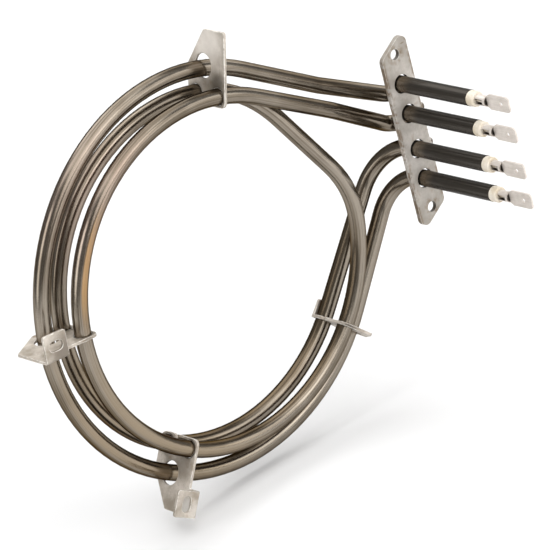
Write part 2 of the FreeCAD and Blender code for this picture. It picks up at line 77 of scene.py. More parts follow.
def tone(red: Number, green: Number, blue: Number) -> Colour:
    """Turn a screen's colour, 0 to 255, into the linear one of a shader.

    Args:
        red: Red as the screen shows it.
        green: Green as the screen shows it.
        blue: Blue as the screen shows it.

    Returns:
        The colour with full alpha.
    """
    parts = []
    for part in (red, green, blue):
        share = part / 255
        parts.append(share / 12.92 if share <= 0.04045 else ((share + 0.055) / 1.055) ** 2.4)
    return (parts[0], parts[1], parts[2], 1.0)


@dataclass(frozen=True)
class Rise:
    """How a value becomes a mask: where it starts, where it is full, how strong it then is."""

    start: float
    full: float
    strength: float = 1.0


@dataclass(frozen=True)
class Uneven:
    """A strength that a noise from 0 to 1 varies: the least, and what a full noise adds."""

    least: float
    gain: float


class Sock:
    """A shader value or colour that takes part in Python expressions."""

    def __init__(self, tree: bpy.types.NodeTree, socket: bpy.types.NodeSocket) -> None:
        """Wrap one output socket of a node tree."""
        self.tree = tree
        self.socket = socket

    def maths(self, operation: str, *others: Union["Sock", Number]) -> "Sock":
        """Add a Math node whose first input is this value.

        Args:
            operation: The Math node's operation.
            others: Its further inputs in order, links or numbers.

        Returns:
            The node's result.
        """
        node = self.tree.nodes.new("ShaderNodeMath")
        node.operation = operation
        for slot, value in zip(node.inputs, (self, *others)):
            if isinstance(value, Sock):
                self.tree.links.new(value.socket, slot)
            else:
                slot.default_value = value
        return Sock(self.tree, node.outputs[0])

    def __add__(self, other: Union["Sock", Number]) -> "Sock":
        """Add two values."""
        return self.maths("ADD", other)

    __radd__ = __add__

    def __mul__(self, other: Union["Sock", Number]) -> "Sock":
        """Multiply two values."""
        return self.maths("MULTIPLY", other)

    __rmul__ = __mul__

    def __rsub__(self, other: Number) -> "Sock":
        """Subtract this value from a number."""
        return self.maths("MULTIPLY_ADD", -1.0, other)

    def fade(self, start: float, end: float) -> "Sock":
        """Rise smoothly from 0 at one value to 1 at another.

        Args:
            start: The value that gives 0.
            end: The value that gives 1.

        Returns:
            The faded value.
        """
        node = self.tree.nodes.new("ShaderNodeMapRange")
        node.interpolation_type = "SMOOTHSTEP"
        self.tree.links.new(self.socket, node.inputs["Value"])
        low, high = (start, end) if start < end else (end, start)
        node.inputs["From Min"].default_value = low
        node.inputs["From Max"].default_value = high
        node.inputs["To Min"].default_value = 0.0 if start < end else 1.0
        node.inputs["To Max"].default_value = 1.0 if start < end else 0.0
        return Sock(self.tree, node.outputs["Result"])

    def rise(self, mask: Rise) -> "Sock":
        """Return this value as a mask."""
        return self.fade(mask.start, mask.full) * mask.strength

    def vary(self, amount: Uneven) -> "Sock":
        """Return a strength that this value makes uneven."""
        return self * amount.gain + amount.least


SocketInput = Union[Sock, Number, Sequence[float]]


class Shader:
    """Builds the node tree of one material or of the world."""

    core_share = 0.2

    def __init__(self, tree: bpy.types.NodeTree) -> None:
        """Start from an empty tree."""
        self.tree = tree
        self.tree.nodes.clear()

    def node(self, kind: str, settings: dict[str, Any], inputs: dict[Union[str, int], SocketInput],
             output: Union[str, int] = 0) -> Sock:
        """Add any node.

        Args:
            kind: The node's type name.
            settings: Attributes set before its sockets.
            inputs: Values or links by socket name or number.
            output: Name or number of the output that is wanted.

        Returns:
            That output.
        """
        node = self.tree.nodes.new(kind)
        for name, value in settings.items():
            setattr(node, name, value)
        for name, value in inputs.items():
            if isinstance(value, Sock):
                self.tree.links.new(value.socket, node.inputs[name])
            else:
                node.inputs[name].default_value = value
        return Sock(self.tree, node.outputs[output])

    def show(self, surface: Sock, kind: str = "ShaderNodeOutputMaterial") -> None:
        """Send a finished surface to the tree's output."""
        self.tree.links.new(surface.socket, self.tree.nodes.new(kind).inputs["Surface"])

    def place(self) -> Sock:
        """Return the point of the surface in the object's own frame."""
        return self.node("ShaderNodeTexCoord", {}, {}, "Object")

    def parts(self, vector: Sock) -> tuple[Sock, Sock, Sock]:
        """Split a vector.

        Args:
            vector: The vector to split.

        Returns:
            Its X, Y and Z.
        """
        split = self.node("ShaderNodeSeparateXYZ", {}, {0: vector}).socket.node
        return tuple(Sock(self.tree, output) for output in split.outputs)

    def joined(self, across: SocketInput, along: SocketInput, up: SocketInput) -> Sock:
        """Return a vector made of three values."""
        return self.node("ShaderNodeCombineXYZ", {}, {0: across, 1: along, 2: up})

    def stretched(self, vector: Sock, scale: Sequence[float]) -> Sock:
        """Return a vector whose parts are each scaled by their own factor."""
        return self.node("ShaderNodeVectorMath", {"operation": "MULTIPLY"}, {0: vector, 1: scale})

    def noise(self, vector: Sock, scale: float = 1.0, detail: float = 3.0, rough: float = 0.55) -> Sock:
        """Return a noise value from 0 to 1.

        Args:
            vector: Where the noise is read.
            scale: How many lumps fit a unit of length.
            detail: Octaves of finer noise.
            rough: Strength of the finer octaves.

        Returns:
            The noise.
        """
        values = {"Vector": vector, "Scale": scale, "Detail": detail, "Roughness": rough}
        return self.node("ShaderNodeTexNoise", {}, values)

    def mix(self, share: SocketInput, first: SocketInput, second: SocketInput) -> Sock:
        """Blend two colours by a share from 0 to 1."""
        settings = {"data_type": "RGBA", "clamp_factor": True}
        return self.node("ShaderNodeMix", settings, {0: share, 6: first, 7: second}, 2)

    def near(self, vector: Sock, spot: Vector, reach: float) -> Sock:
        """Return a mask that is 1 in the core of a spot and fades to 0 at its reach.

        Args:
            vector: The surface point.
            spot: Centre of the mask in metres.
            reach: Its radius in metres.

        Returns:
            The mask.
        """
        return self.gap(vector, spot).fade(reach, reach * self.core_share)

    def gap(self, vector: Sock, spot: Vector) -> Sock:
        """Return the distance from a spot in metres."""
        return self.node("ShaderNodeVectorMath", {"operation": "DISTANCE"}, {0: vector, 1: spot}, "Value")

    def from_axes(self, place: Sock, heights: Sequence[float]) -> Sock:
        """Return the distance from the nearest of some axes parallel to Y.

        Args:
            place: The surface point.
            heights: Heights of the axes, each standing for one above and one below the middle.

        Returns:
            The distance in metres.
        """
        across, _, up = self.parts(place)
        spot = self.joined(across, 0.0, up.maths("ABSOLUTE"))
        near = self.gap(spot, Vector((0, 0, heights[0])))
        for height in heights[1:]:
            near = near.maths("MINIMUM", self.gap(spot, Vector((0, 0, height))))
        return near

    def bump(self, height: Sock, depth: float, strength: float = 1.0) -> Sock:
        """Return a normal disturbed by a height.

        Args:
            height: The height from 0 to 1.
            depth: What a height of 1 means in metres.
            strength: Share of the bump that is kept.

        Returns:
            The disturbed normal.
        """
        values = {"Height": height, "Distance": depth, "Strength": strength}
        return self.node("ShaderNodeBump", {}, values, "Normal")


@dataclass(frozen=True)
class Finish:
    """A surface finish, whose kinds each paint their own nodes."""

    name: str
    metallic: float = 1.0

    def material(self) -> bpy.types.Material:
        """Make the finish's material at its first use.

        Returns:
            The material.
        """
        if self.name in MADE:
            return MADE[self.name]
        material = MADE[self.name] = bpy.data.materials.new(self.name)
        material.use_nodes = True
        shader = Shader(material.node_tree)
        sockets: dict[Union[str, int], SocketInput] = {"Metallic": self.metallic, **self.paint(shader)}
        shader.show(shader.node("ShaderNodeBsdfPrincipled", {}, sockets))
        return material

    def paint(self, shader: Shader) -> dict[str, SocketInput]:
        """Lay out the nodes that vary over the surface.

        Args:
            shader: The material's nodes.

        Returns:
            Values and links by socket name.
        """
        raise NotImplementedError


@dataclass(frozen=True)
class TintedSheath(Finish):
    """Satin tube steel with heat tints, turning black on the cold ends, with a warm painted highlight along
    the front of the lower left turns and brown painted shade on the lower turns' sides turned away from the
    front.

    Streaks and drawing lines follow the wrap map: along the tube's run and round it.
    """

    light: Colour = tone(154, 145, 133)
    dark: Colour = tone(105, 95, 82)
    # Warm painted highlight and brown painted shade for the lower turns.
    front_highlight: Colour = tone(160, 143, 119)
    averted_shade: Colour = tone(88, 74, 55)
    straw: Colour = tone(174, 138, 92)
    rose: Colour = tone(158, 134, 122)
    black: Colour = tone(70, 66, 61)
    brown: Colour = tone(98, 85, 69)
    # Near black of the soot streaks on the cold ends.
    near_black: Colour = tone(40, 37, 33)
    rim: Colour = (0.27, 0.25, 0.23, 1.0)
    rough: float = 0.17
    drawn_rough: float = 0.05
    cloud_rough: float = 0.06
    cold_rough: float = 0.02
    cold_metal: float = 0.5
    streak_scale: Scale = (1.5, 5.0, 5.0)
    streak_share: float = 0.6
    drawn_scale: Scale = (12.0, 30.0, 30.0)
    drawn_depth: float = 0.004 * MM
    drawn_strength: float = 0.25
    cloud_scale: float = 34.0
    streaked: Rise = Rise(0.38, 0.62)
    browned: Rise = Rise(0.55, 0.8, 0.25)
    sooted: Rise = Rise(0.4, 0.65, 0.35)
    cold: Rise = Rise(3 * MM, -9 * MM)
    scorched: Rise = Rise(1 * MM, -9 * MM)
    low: Rise = Rise(0.0, -50 * MM)
    left: Rise = Rise(-85 * MM, -130 * MM)
    facing: Rise = Rise(0.7, 1.0)
    averted: Rise = Rise(0.93, 0.4)
    front_highlight_amount: Uneven = Uneven(0.35, 0.5)
    averted_shade_amount: Uneven = Uneven(0.5, 0.6)
    straw_spot: Vector = field(default_factory=lambda: Vector((-158.0, 7.3, 14.0)) * MM)
    straw_reach: float = 30 * MM
    straw_band: Rise = Rise(7.7 * MM, 7.35 * MM)
    straw_amount: Uneven = Uneven(0.55, 0.5)
    rose_spot: Vector = field(default_factory=lambda: Vector((-142.0, 12.0, 34.0)) * MM)
    rose_reach: float = 40 * MM
    rose_streaks: Rise = Rise(0.35, 0.6, 0.45)

    def paint(self, shader: Shader) -> dict[str, SocketInput]:
        """Paint colour, roughness and grain of the sheath.

        Args:
            shader: The material's nodes.

        Returns:
            Values and links by socket name.
        """
        place = shader.place()
        across, depth, up = shader.parts(place)
        wrap = shader.node("ShaderNodeUVMap", {"uv_map": "wrap"}, {})
        run, around, _ = shader.parts(wrap)
        turn = around * (2 * math.pi)
        tube = shader.joined(run, turn.maths("COSINE"), turn.maths("SINE"))
        lines = shader.noise(shader.stretched(tube, self.streak_scale), detail=4.0, rough=0.6)
        drawn = shader.noise(shader.stretched(tube, self.drawn_scale), rough=0.6)
        clouds = shader.noise(place, self.cloud_scale)
        streak = lines * self.streak_share + clouds * (1 - self.streak_share)
        steel = shader.mix(streak.rise(self.streaked), self.dark, self.light)
        steel = shader.mix(clouds.rise(self.browned), steel, self.brown)
        straw = shader.near(place, self.straw_spot, self.straw_reach) * depth.rise(self.straw_band)
        steel = shader.mix(straw * lines.vary(self.straw_amount), steel, self.straw)
        front = shader.node("ShaderNodeAttribute", {"attribute_name": "front"}, {}, "Fac")
        low = up.rise(self.low)
        # Painted highlight: the front of the lower left turns is lightened in a warm tone.
        front_lit = front.rise(self.facing) * low * across.rise(self.left)
        steel = shader.mix(front_lit * clouds.vary(self.front_highlight_amount), steel, self.front_highlight)
        # Painted shade: the lower turns' sides turned away from the front are darkened in brown.
        averted_shade = front.rise(self.averted) * low
        steel = shader.mix(averted_shade * clouds.vary(self.averted_shade_amount), steel, self.averted_shade)
        rose = shader.near(place, self.rose_spot, self.rose_reach) * lines.rise(self.rose_streaks)
        steel = shader.mix(rose, steel, self.rose)
        ends = shader.mix(depth.rise(self.scorched), self.brown, self.black)
        ends = shader.mix(lines.rise(self.sooted), ends, self.near_black)
        cold = depth.rise(self.cold)
        rough = self.rough + drawn * self.drawn_rough + clouds * self.cloud_rough + cold * self.cold_rough
        normal = shader.bump(drawn, self.drawn_depth, self.drawn_strength)
        return {"Base Color": shader.mix(cold, steel, ends), "Roughness": rough, "Normal": normal,
                "Metallic": 1 - cold * self.cold_metal, "Specular Tint": self.rim}


@dataclass(frozen=True)
class LightShadePatch:
    """A patch of a sheet painted darker as shade or brighter as light."""

    spot: Vector
    reach: float
    colour: Colour
    share: float


# Painted shade and painted light: darker patches on the top bracket between the turns, the left bracket, the
# bottom bracket and the right clip; brighter patches on the top bracket's face and the bottom foot.
LIGHT_SHADE_PATCHES = (
    LightShadePatch(Vector((-77.3, 10.5, 53.2)) * MM, 7 * MM, tone(64, 57, 47), 0.75),
    LightShadePatch(Vector((-73.2, 15.6, 67.3)) * MM, 13 * MM, tone(238, 231, 222), 0.8),
    LightShadePatch(Vector((-181.5, 0.0, -7.5)) * MM, 10 * MM, tone(112, 102, 90), 0.8),
    LightShadePatch(Vector((-166.8, 6.1, -11.4)) * MM, 5 * MM, tone(140, 130, 118), 0.6),
    LightShadePatch(Vector((-144.7, 4.8, -94.5)) * MM, 7 * MM, tone(236, 232, 226), 0.8),
    LightShadePatch(Vector((-137.4, 12.5, -82.5)) * MM, 8 * MM, tone(128, 118, 106), 0.6),
    LightShadePatch(Vector((-48.4, 6.1, -63.2)) * MM, 5 * MM, tone(96, 88, 79), 0.9),
)


@dataclass(frozen=True)
class StampedSteel(Finish):
    """Matt pressed sheet with rolling grain, stains and pits, patches of painted shade and painted light,
    and painted shade where it touches the turns.
    """

    face: Colour = tone(214, 205, 194)
    shade: Colour = tone(158, 147, 132)
    stain: Colour = tone(158, 134, 108)
    # Near black: painted shade at the contacts and hole walls, and soot in the halos.
    near_black: Colour = tone(36, 31, 26)
    rough: float = 0.44
    cloud_rough: float = 0.14
    grit_rough: float = 0.1
    cloud_scale: float = 120.0
    spot_scale: float = 260.0
    pit_scale: float = 700.0
    grit_scale: float = 1500.0
    grit_share: float = 0.6
    grit_depth: float = 0.03 * MM
    grit_strength: float = 0.7
    clouded: Rise = Rise(0.3, 0.7)
    stained: Rise = Rise(0.58, 0.78, 0.6)
    pitted: Rise = Rise(0.56, 0.72, 0.45)
    gritty: Rise = Rise(0.45, 0.8, 0.3)
    mark_amount: Uneven = Uneven(0.7, 0.6)
    touch_shade: Rise = Rise(3.95 * MM, 3.6 * MM, 0.85)
    halo: Rise = Rise(5.6 * MM, 3.6 * MM, 0.35)

    def paint(self, shader: Shader) -> dict[str, SocketInput]:
        """Paint colour, roughness and grain of the sheet.

        Args:
            shader: The material's nodes.

        Returns:
            Values and links by socket name.
        """
        place = shader.place()
        clouds = shader.noise(place, self.cloud_scale, detail=4.0, rough=0.6)
        grit = shader.noise(place, self.grit_scale, detail=2.0, rough=0.6)
        spots = shader.noise(place, self.spot_scale, detail=2.0, rough=0.5)
        pits = shader.noise(place, self.pit_scale, rough=0.65)
        colour = shader.mix(clouds.rise(self.clouded), self.shade, self.face)
        colour = shader.mix(spots.rise(self.stained), colour, self.stain)
        colour = shader.mix(pits.rise(self.pitted), colour, self.shade)
        colour = shader.mix(grit.rise(self.gritty), colour, self.shade)
        # Patches of painted shade and painted light, each at its listed place.
        for mark in LIGHT_SHADE_PATCHES:
            tone_shift = shader.near(place, mark.spot, mark.reach) * clouds.vary(self.mark_amount) * mark.share
            colour = shader.mix(tone_shift, colour, mark.colour)
        # Painted shade where the sheet touches the turns, with a sooty halo around it.
        colour = shader.mix(self.contact_shade(shader, place, spots), colour, self.near_black)
        rough = self.rough + clouds * self.cloud_rough + grit * self.grit_rough
        relief = grit * self.grit_share + pits * (1 - self.grit_share)
        normal = shader.bump(relief, self.grit_depth, self.grit_strength)
        return {"Base Color": colour, "Roughness": rough, "Normal": normal}

    def contact_shade(self, shader: Shader, place: Sock, spots: Sock) -> Sock:
        """Return where the sheet touches the turns: painted shade at the touch, with a sooty halo around it.

        Args:
            shader: The material's nodes.
            place: The surface point.
            spots: A noise that breaks the mask's border.

        Returns:
            The mask.
        """
        wind = Winding()
        across, depth, up = shader.parts(place)
        reach = shader.gap(shader.joined(across, 0.0, up), wind.hub(0.0))
        outer, front, back = (shader.gap(shader.joined(reach, depth, 0.0), Vector((radius, middle, 0)))
                              for radius, middle in wind.turns())
        near = outer.maths("MINIMUM", front).maths("MINIMUM", back)
        return near.rise(self.touch_shade) + near.rise(self.halo) * spots


@dataclass(frozen=True)
class FlangeSteel(StampedSteel):
    """Stamped sheet with painted shade on its hole walls, grimy long edges and one short scratch."""

    face: Colour = tone(206, 200, 193)
    shade: Colour = tone(166, 159, 150)
    grime: Colour = tone(126, 108, 88)
    # Darker tone towards both ends.
    tone_shift: Colour = tone(150, 143, 133)
    bolt_height: float = 32.75 * MM
    ragged_scale: float = 380.0
    inside: Rise = Rise(0.1 * MM, 0.3 * MM)
    tube_wall: Rise = Rise(4.15 * MM, 4.05 * MM, 0.95)
    bolt_wall: Rise = Rise(2.4 * MM, 2.3 * MM, 0.55)
    bolt_ring: Rise = Rise(5.2 * MM, 2.4 * MM)
    bolt_ragged: Rise = Rise(0.4, 0.7)
    side: Rise = Rise(5.3 * MM, 6.9 * MM, 0.9)
    side_ragged: Rise = Rise(0.4, 0.58)
    lug: Rise = Rise(6.9 * MM, 7.7 * MM, 0.7)
    lug_ragged: Rise = Rise(0.35, 0.55)
    tips: Rise = Rise(22 * MM, 34 * MM)
    tip_amount: Uneven = Uneven(0.35, 0.5)
    scratch_spot: Vector = field(default_factory=lambda: Vector((4.6, 0.0, 35.75)) * MM)
    scratch_scale: Scale = (1.0, 0.0, 3.2)
    scratch_reach: float = 1.5 * MM
    scratch_share: float = 0.8

    def paint(self, shader: Shader) -> dict[str, SocketInput]:
        """Paint the sheet's finish and add the flange's own marks.

        Args:
            shader: The material's nodes.

        Returns:
            Values and links by socket name.
        """
        sockets = super().paint(shader)
        place = shader.place()
        across, depth, up = shader.parts(place)
        ragged = shader.noise(place, self.ragged_scale, rough=0.6)
        # Darker towards both ends.
        tips = up.maths("ABSOLUTE").rise(self.tips) * ragged.vary(self.tip_amount)
        colour = shader.mix(tips, sockets["Base Color"], self.tone_shift)
        bolts = shader.from_axes(place, (self.bolt_height,))
        rings = bolts.rise(self.bolt_ring) * ragged.rise(self.bolt_ragged)
        sides = across.maths("ABSOLUTE").rise(self.side) * ragged.rise(self.side_ragged)
        colour = shader.mix(sides + rings, colour, self.grime)
        slim = shader.stretched(place, self.scratch_scale)
        scratch = shader.near(slim, self.scratch_spot * Vector(self.scratch_scale), self.scratch_reach)
        colour = shader.mix(scratch * self.scratch_share, colour, self.grime)
        tubes = shader.from_axes(place, Winding().heights())
        # Painted shade on the walls of the tube and bolt holes, inside the plate; the lug edge on the +X
        # side is darkened too.
        wall_shade = (tubes.rise(self.tube_wall) + bolts.rise(self.bolt_wall)) * depth.rise(self.inside)
        lugs = across.rise(self.lug) * ragged.rise(self.lug_ragged)
        return {**sockets, "Base Color": shader.mix(wall_shade + lugs, colour, self.near_black)}


@dataclass(frozen=True)
class WornEdgeHighlight(Finish):
    """Bright metal where a sheet's edge is rubbed, painted brighter still as an edge highlight."""

    # Rubbed bright metal and painted edge highlight in one.
    bright: Colour = tone(242, 238, 230)
    dull: Colour = tone(172, 162, 150)
    rough: float = 0.3
    wear_rough: float = 0.14
    wear_scale: float = 420.0
    dulled: Rise = Rise(0.35, 0.65)

    def paint(self, shader: Shader) -> dict[str, SocketInput]:
        """Paint colour and roughness of the rubbed edge.

        Args:
            shader: The material's nodes.

        Returns:
            Values and links by socket name.
        """
        wear = shader.noise(shader.place(), self.wear_scale, rough=0.6)
        colour = shader.mix(wear.rise(self.dulled), self.bright, self.dull)
        return {"Base Color": colour, "Roughness": self.rough + wear * self.wear_rough}


@dataclass(frozen=True)
class CreamCeramic(Finish):
    """Fired cream ceramic with warmer patches and a few pores."""

    cream: Colour = tone(234, 225, 210)
    warm: Colour = tone(214, 200, 176)
    pore: Colour = tone(176, 156, 128)
    rough: float = 0.55
    body_rough: float = 0.15
    body_scale: float = 240.0
    pore_scale: float = 2200.0
    pore_depth: float = 0.03 * MM
    pore_strength: float = 0.5
    warmed: Rise = Rise(0.35, 0.7)
    porous: Rise = Rise(0.66, 0.8, 0.5)

    def paint(self, shader: Shader) -> dict[str, SocketInput]:
        """Paint colour, roughness and pores of the ceramic.

        Args:
            shader: The material's nodes.

        Returns:
            Values and links by socket name.
        """
        place = shader.place()
        body = shader.noise(place, self.body_scale)
        pores = shader.noise(place, self.pore_scale, detail=2.0)
        colour = shader.mix(body.rise(self.warmed), self.cream, self.warm)
        colour = shader.mix(pores.rise(self.porous), colour, self.pore)
        normal = shader.bump(pores, self.pore_depth, self.pore_strength)
        return {"Base Color": colour, "Roughness": self.rough + body * self.body_rough, "Normal": normal}


@dataclass(frozen=True)
class TabSteel(Finish):
    """Plated tab with a faint rolled grain along its length and painted shade in the barrel bore."""

    plate: Colour = tone(228, 220, 212)
    dull: Colour = tone(208, 199, 190)
    # Colour of the painted shade in the barrel bore.
    inside: Colour = tone(48, 40, 32)
    rough: float = 0.34
    cloud_rough: float = 0.12
    grain_scale: Scale = (1600.0, 120.0, 1600.0)
    grain_share: float = 0.5
    grain_depth: float = 0.01 * MM
    grain_strength: float = 0.5
    cloud_scale: float = 300.0
    plated: Rise = Rise(0.35, 0.68)
    bore: Rise = Rise(1.95 * MM, 1.75 * MM)
    barrel: Rise = Rise(-49.5 * MM, -49.1 * MM)

    def paint(self, shader: Shader) -> dict[str, SocketInput]:
        """Paint colour, roughness and grain of the tab.

        Args:
            shader: The material's nodes.

        Returns:
            Values and links by socket name.
        """
        place = shader.place()
        _, along, _ = shader.parts(place)
        grain = shader.noise(shader.stretched(place, self.grain_scale))
        clouds = shader.noise(place, self.cloud_scale, detail=2.0)
        plated = (grain * self.grain_share + clouds * (1 - self.grain_share)).rise(self.plated)
        colour = shader.mix(plated, self.dull, self.plate)
        # Painted shade inside the barrel, round the pin.
        bore = shader.from_axes(place, Winding().heights()).rise(self.bore) * along.rise(self.barrel)
        colour = shader.mix(bore, colour, self.inside)
        normal = shader.bump(grain, self.grain_depth, self.grain_strength)
        return {"Base Color": colour, "Roughness": self.rough + clouds * self.cloud_rough, "Normal": normal}


@dataclass(frozen=True)
class PackedPowder(Finish):
    """White oxide powder pressed hard into the sheath."""

    white: Colour = tone(226, 222, 212)
    grey: Colour = tone(190, 184, 172)
    rough: float = 0.95
    grain_scale: float = 1800.0
    grain_depth: float = 0.05 * MM
    whitened: Rise = Rise(0.3, 0.7)

    def paint(self, shader: Shader) -> dict[str, SocketInput]:
        """Paint colour, roughness and grain of the powder.

        Args:
            shader: The material's nodes.

        Returns:
            Values and links by socket name.
        """
        grains = shader.noise(shader.place(), self.grain_scale, detail=4.0, rough=0.7)
        colour = shader.mix(grains.rise(self.whitened), self.grey, self.white)
        normal = shader.bump(grains, self.grain_depth)
        return {"Base Color": colour, "Roughness": self.rough, "Normal": normal}


@dataclass(frozen=True)
class DrawnWire(Finish):
    """Drawn wire with a fine lengthwise grain."""

    light: Colour = tone(222, 214, 204)
    dark: Colour = tone(150, 141, 131)
    rough: float = 0.3
    grain_rough: float = 0.12
    grain_scale: Scale = (2400.0, 90.0, 2400.0)
    lit: Rise = Rise(0.3, 0.7)

    def paint(self, shader: Shader) -> dict[str, SocketInput]:
        """Paint colour and roughness of the wire.

        Args:
            shader: The material's nodes.

        Returns:
            Values and links by socket name.
        """
        grain = shader.noise(shader.stretched(shader.place(), self.grain_scale), detail=2.0)
        colour = shader.mix(grain.rise(self.lit), self.dark, self.light)
        return {"Base Color": colour, "Roughness": self.rough + grain * self.grain_rough}


class Stuff(Enum):
    """The finishes of the element, by what each is."""

    SHEATH = TintedSheath("tinted_sheath")
    FLANGE = FlangeSteel("flange_steel", metallic=0.4)
    SHEET = StampedSteel("bracket_sheet", metallic=0.4)
    # Rubbed edges with a painted edge highlight.
    EDGE = WornEdgeHighlight("worn_edge_highlight", metallic=0.3)
    CERAMIC = CreamCeramic("cream_ceramic", metallic=0.0)
    TAB = TabSteel("plated_tab", metallic=0.4)
    POWDER = PackedPowder("packed_powder", metallic=0.0)
    WIRE = DrawnWire("drawn_wire")

    def material(self) -> bpy.types.Material:
        """Return the finish's material."""
        return self.value.material()


@dataclass(frozen=True)
class Straight:
    """A straight stretch of a tube."""

    end: Vector


@dataclass(frozen=True)
class Bend:
    """A stretch of a tube that turns about an axis."""

    centre: Vector
    axis: Vector
    angle: float
    radius: float


Stretch = Union[Straight, Bend]
Verts = list[bmesh.types.BMVert]
Edges = list[bmesh.types.BMEdge]


def placed(name: str, data: Any) -> bpy.types.Object:
    """Put a new object into the scene.

    Args:
        name: Name of the object.
        data: Its mesh, lamp or camera.

    Returns:
        The object.
    """
    thing = bpy.data.objects.new(name, data)
    bpy.context.scene.collection.objects.link(thing)
    return thing


class TubeRunner:
    """Pushes a ring of edges along straights and bends to form a tube."""

    crease = math.radians(40)
    straight_step = 6 * MM
    bend_step = 3 * MM
    least_angle = 0.02
    most_angle = math.radians(6)
    wrap_scale = 10

    def __init__(self, start: Vector, heading: Vector, radius: float, sides: int) -> None:
        """Place the first ring.

        Args:
            start: Centre of the ring.
            heading: Direction in which the tube leaves.
            radius: Outer radius of the tube.
            sides: Edges of the ring.
        """
        self.bm = bmesh.new()
        self.run = self.bm.verts.layers.float.new("run")
        self.side = self.bm.verts.layers.float.new("side")
        self.front = self.bm.verts.layers.float.new("front")
        self.wrap = self.bm.loops.layers.uv.new("wrap")
        self.radius, self.here = radius, start.copy()
        turn = heading.to_track_quat("Z", "Y").to_matrix().to_4x4()
        ring = bmesh.ops.create_circle(self.bm, cap_ends=False, radius=radius, segments=sides,
                                       matrix=Matrix.Translation(start) @ turn)
        self.first = list(ring["verts"])
        self.edges = list(self.bm.edges)

    def corners(self, edges: Edges) -> Verts:
        """Return the vertices of a ring of edges, each once and always in the same order."""
        return list(dict.fromkeys(vert for edge in edges for vert in edge.verts))

    def grown(self, edges: Edges) -> tuple[Verts, Edges]:
        """Extrude a ring of edges in place.

        Args:
            edges: The ring.

        Returns:
            The vertices and edges of the new ring.
        """
        fresh = bmesh.ops.extrude_edge_only(self.bm, edges=edges)["geom"]
        verts = [part for part in fresh if isinstance(part, bmesh.types.BMVert)]
        links = [part for part in fresh if isinstance(part, bmesh.types.BMEdge)]
        return verts, [edge for edge in links if all(vert in fresh for vert in edge.verts)]

    def straight(self, end: Vector) -> None:
        """Push the ring to a point.

        Args:
            end: Centre of the ring at the end.
        """
        travel = end - self.here
        count = max(1, math.ceil(travel.length / self.straight_step))
        for _ in range(count):
            verts, self.edges = self.grown(self.edges)
            bmesh.ops.translate(self.bm, verts=verts, vec=travel / count)
        self.here = end.copy()

    def bend(self, stretch: Bend) -> None:
        """Swing the ring about an axis.

        Args:
            stretch: Centre, axis and angle of the bend.
        """
        step = min(self.most_angle, self.bend_step / stretch.radius + self.least_angle)
        count = max(2, math.ceil(stretch.angle / step))
        spun = bmesh.ops.spin(self.bm, geom=self.corners(self.edges) + self.edges, cent=stretch.centre,
                              axis=stretch.axis, dvec=Vector(), angle=stretch.angle,
                              steps=count, use_merge=False, use_duplicate=False)
        self.edges = [part for part in spun["geom_last"] if isinstance(part, bmesh.types.BMEdge)]
        turn = Matrix.Rotation(stretch.angle, 3, stretch.axis)
        self.here = stretch.centre + turn @ (self.here - stretch.centre)

    def mark(self) -> None:
        """Write on each vertex how far along, where round and how far to the front it is."""
        ring, seen, distance = self.first, set(self.first), 0.0
        centre = sum((vert.co for vert in ring), Vector()) / len(ring)
        while ring:
            for number, vert in enumerate(ring):
                vert[self.run], vert[self.side] = distance, number / len(ring)
                vert[self.front] = (centre.y - vert.co.y) / self.radius
            following = []
            for vert in ring:
                fresh = [edge.other_vert(vert) for edge in vert.link_edges
                         if edge.other_vert(vert) not in seen]
                following += fresh[:1]
            seen.update(following)
            ring = following if len(following) == len(ring) else []
            if ring:
                middle = sum((vert.co for vert in ring), Vector()) / len(ring)
                distance += (middle - centre).length
                centre = middle

    def mouth(self, edges: Edges, inward: Vector, bore: float, depth: float) -> None:
        """Turn an open end in to the bore of the sheath.

        Args:
            edges: The ring of edges at the end.
            inward: Direction into the tube.
            bore: Radius of the bore.
            depth: How far the bore's wall goes in.
        """
        ring = self.corners(edges)
        centre = sum((vert.co for vert in ring), Vector()) / len(ring)
        for scale, push in ((bore / self.radius, Vector()), (1.0, inward * depth)):
            verts, edges = self.grown(edges)
            bmesh.ops.scale(self.bm, verts=verts, vec=(scale,) * 3, space=Matrix.Translation(-centre))
            bmesh.ops.translate(self.bm, verts=verts, vec=push)

    def to_mesh(self, name: str) -> bpy.types.Mesh:
        """Close the work on the tube, smooth it and map its wrap.

        Args:
            name: Name of the mesh.

        Returns:
            The mesh.
        """
        for face in self.bm.faces:
            face.smooth = True
            sides = [loop.vert[self.side] for loop in face.loops]
            crosses = max(sides) - min(sides) > 0.5
            for loop, place in zip(face.loops, sides):
                place += 1.0 if crosses and place < 0.5 else 0.0
                loop[self.wrap].uv = (loop.vert[self.run] * self.wrap_scale, place)
        bmesh.ops.recalc_face_normals(self.bm, faces=self.bm.faces)
        for edge in self.bm.edges:
            edge.smooth = not edge.is_manifold or edge.calc_face_angle() < self.crease
        mesh = bpy.data.meshes.new(name)
        self.bm.to_mesh(mesh)
        self.bm.free()
        return mesh


